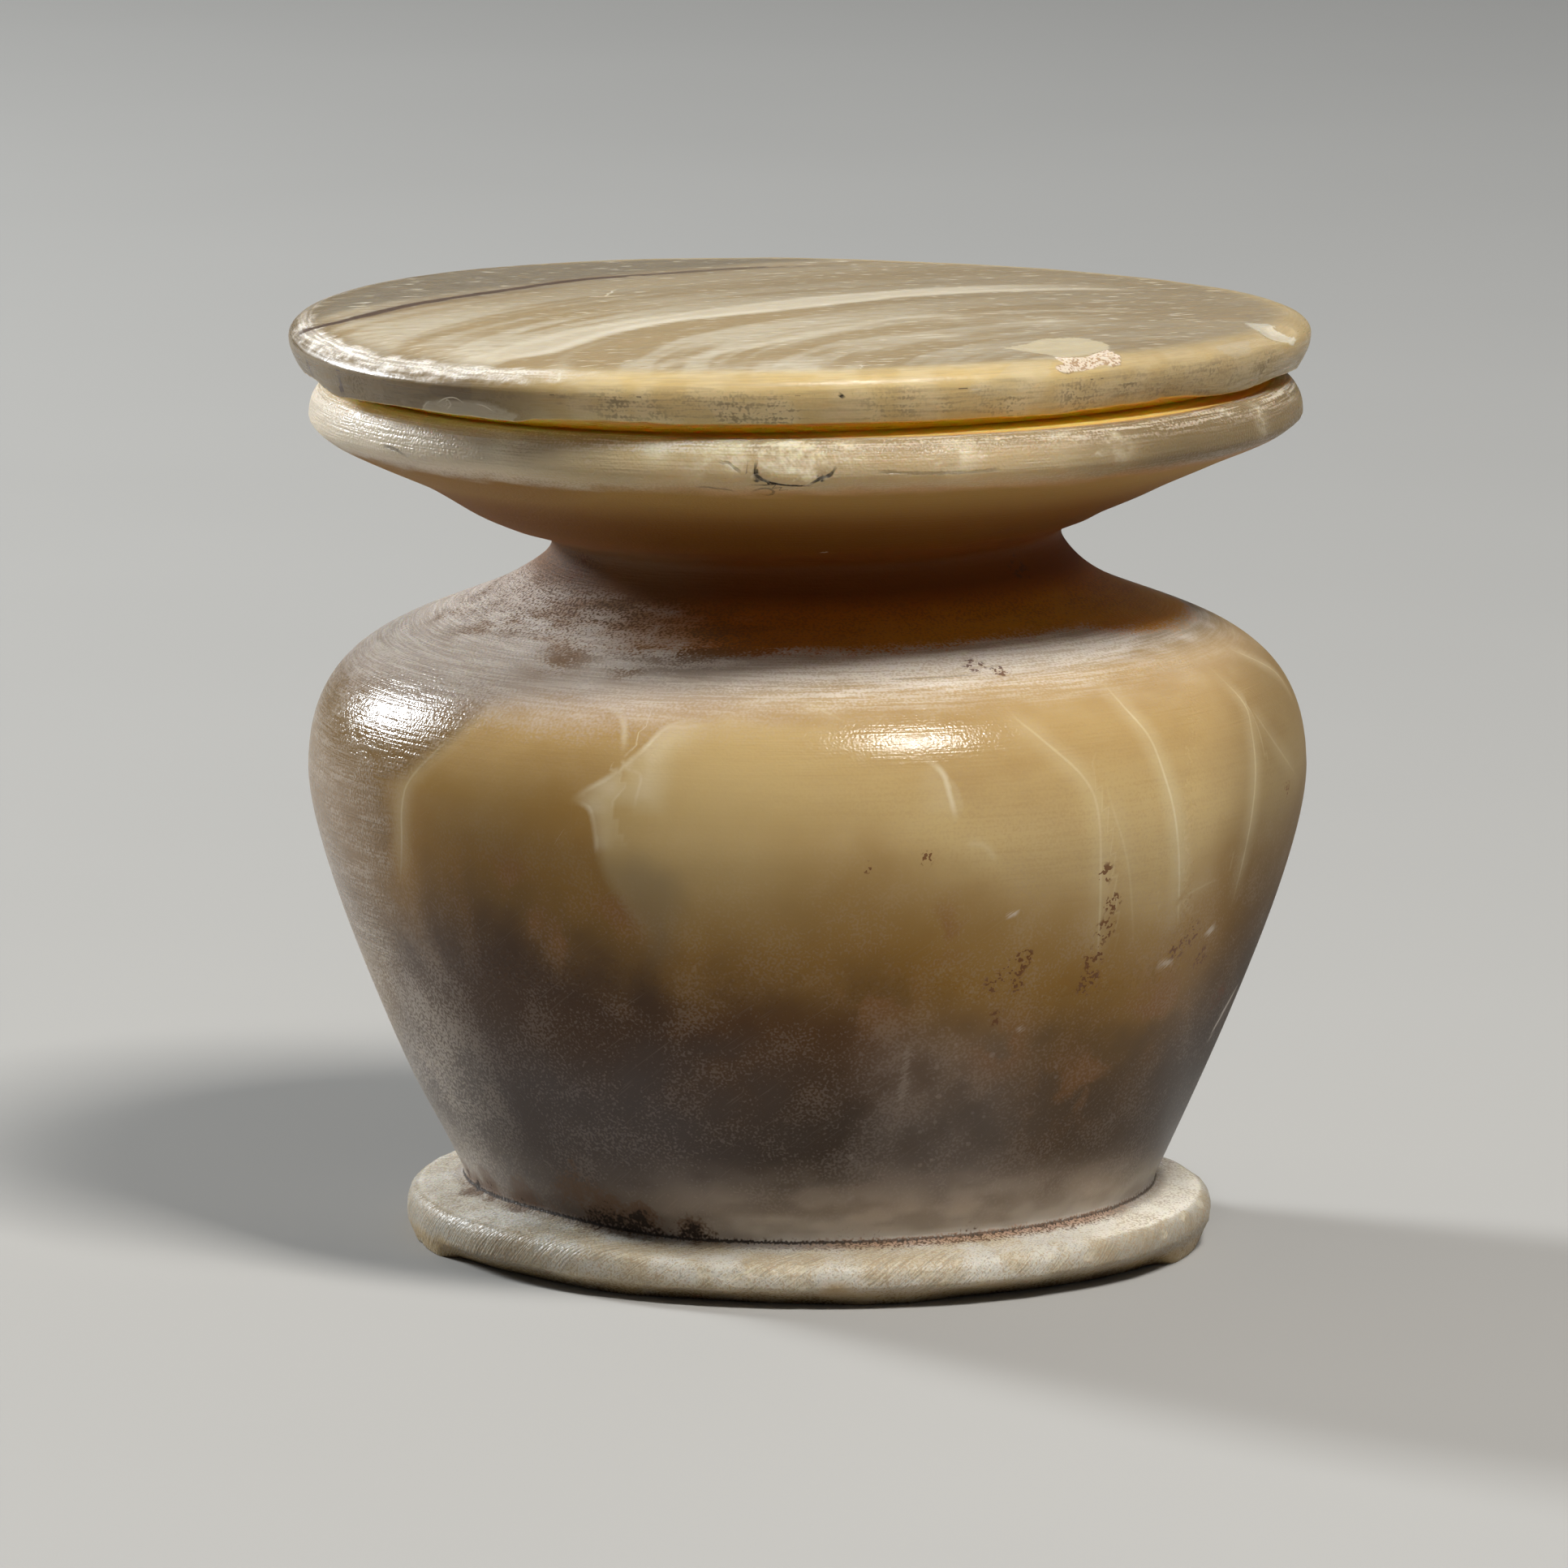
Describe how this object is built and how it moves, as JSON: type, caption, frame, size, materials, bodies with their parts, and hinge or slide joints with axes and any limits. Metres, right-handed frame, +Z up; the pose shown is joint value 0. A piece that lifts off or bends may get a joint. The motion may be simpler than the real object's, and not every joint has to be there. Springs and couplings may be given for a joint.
{
  "type": "cosmetic jar",
  "caption": "Small turned stone cosmetic jar with a foot disc, high round shoulder, pinched neck and broad flared rim, under a loose disc lid.",
  "frame": {"origin": "centre of the foot's flat underside", "axes": "+Z up, -Y towards the front that the picture shows, +X to the right"},
  "size_m": [0.0512, 0.0521, 0.0466],
  "materials": {
    "jar_stone": "satin",
    "lid_stone": "satin"
  },
  "bodies": {
    "root": {"jar": "jar_stone", "lid": "lid_stone"}
  },
  "joints": []
}
